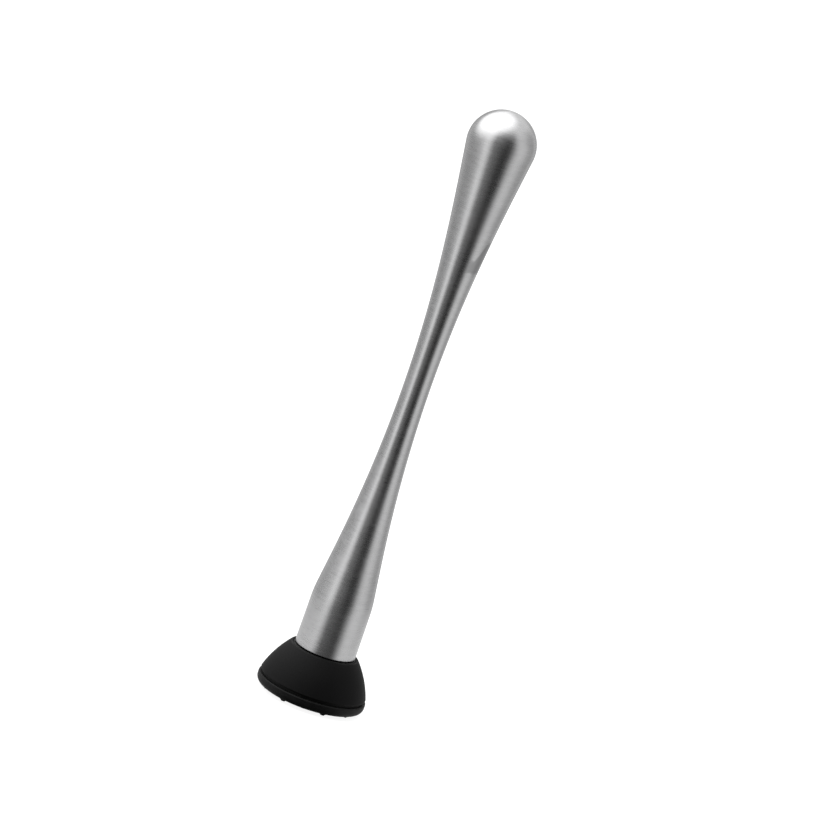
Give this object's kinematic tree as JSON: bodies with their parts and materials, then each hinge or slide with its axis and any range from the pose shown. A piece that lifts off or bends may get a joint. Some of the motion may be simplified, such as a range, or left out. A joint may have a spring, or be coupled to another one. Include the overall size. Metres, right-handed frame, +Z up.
{
  "type": "muddler",
  "caption": "Bar muddler: hollow brushed steel handle with a domed head and a slim waist, screwed onto a flared black foot with a toothed tread.",
  "frame": {"origin": "centre of the circle of tooth tips that the muddler stands on", "axes": "+Z up the muddler's axis, from the tread to the domed head; +X along a row of teeth"},
  "size_m": [0.0376, 0.0376, 0.21],
  "materials": {
    "brushed_steel": "fine brushing round the axis, satin",
    "turned_steel": "lathe-turned, bare",
    "silicone_seal": "matt black silicone",
    "moulded_black": "fine spark-eroded mould texture, satin-matt",
    "tread_black": "fine mould texture, matt, slightly rubbed at the tips",
    "fastener_steel": "bright stainless fastener"
  },
  "bodies": {
    "foot": {"foot_bell": "moulded_black", "tread_disc": "tread_black", "foot_bolt": "fastener_steel", "bolt_washer": "fastener_steel", "jam_nut": "fastener_steel"},
    "seal": {"seal_ring": "silicone_seal"},
    "handle": {"handle_shell": "brushed_steel", "handle_plug": "turned_steel"}
  },
  "joints": [
    {"name": "handle_unscrew", "type": "hinge", "parent": "foot", "child": "seal", "pos_m": [0, 0, 0.01735], "axis": [0, 0, 1], "range_deg": [0, 4320]},
    {"name": "handle_lift", "type": "slide", "parent": "seal", "child": "handle", "axis": [0, 0, 1], "range_m": [0, 0.012]}
  ],
  "couplings": [
    {"joint": "handle_lift", "follows": "handle_unscrew", "m_per_rad": 0.00015915}
  ]
}
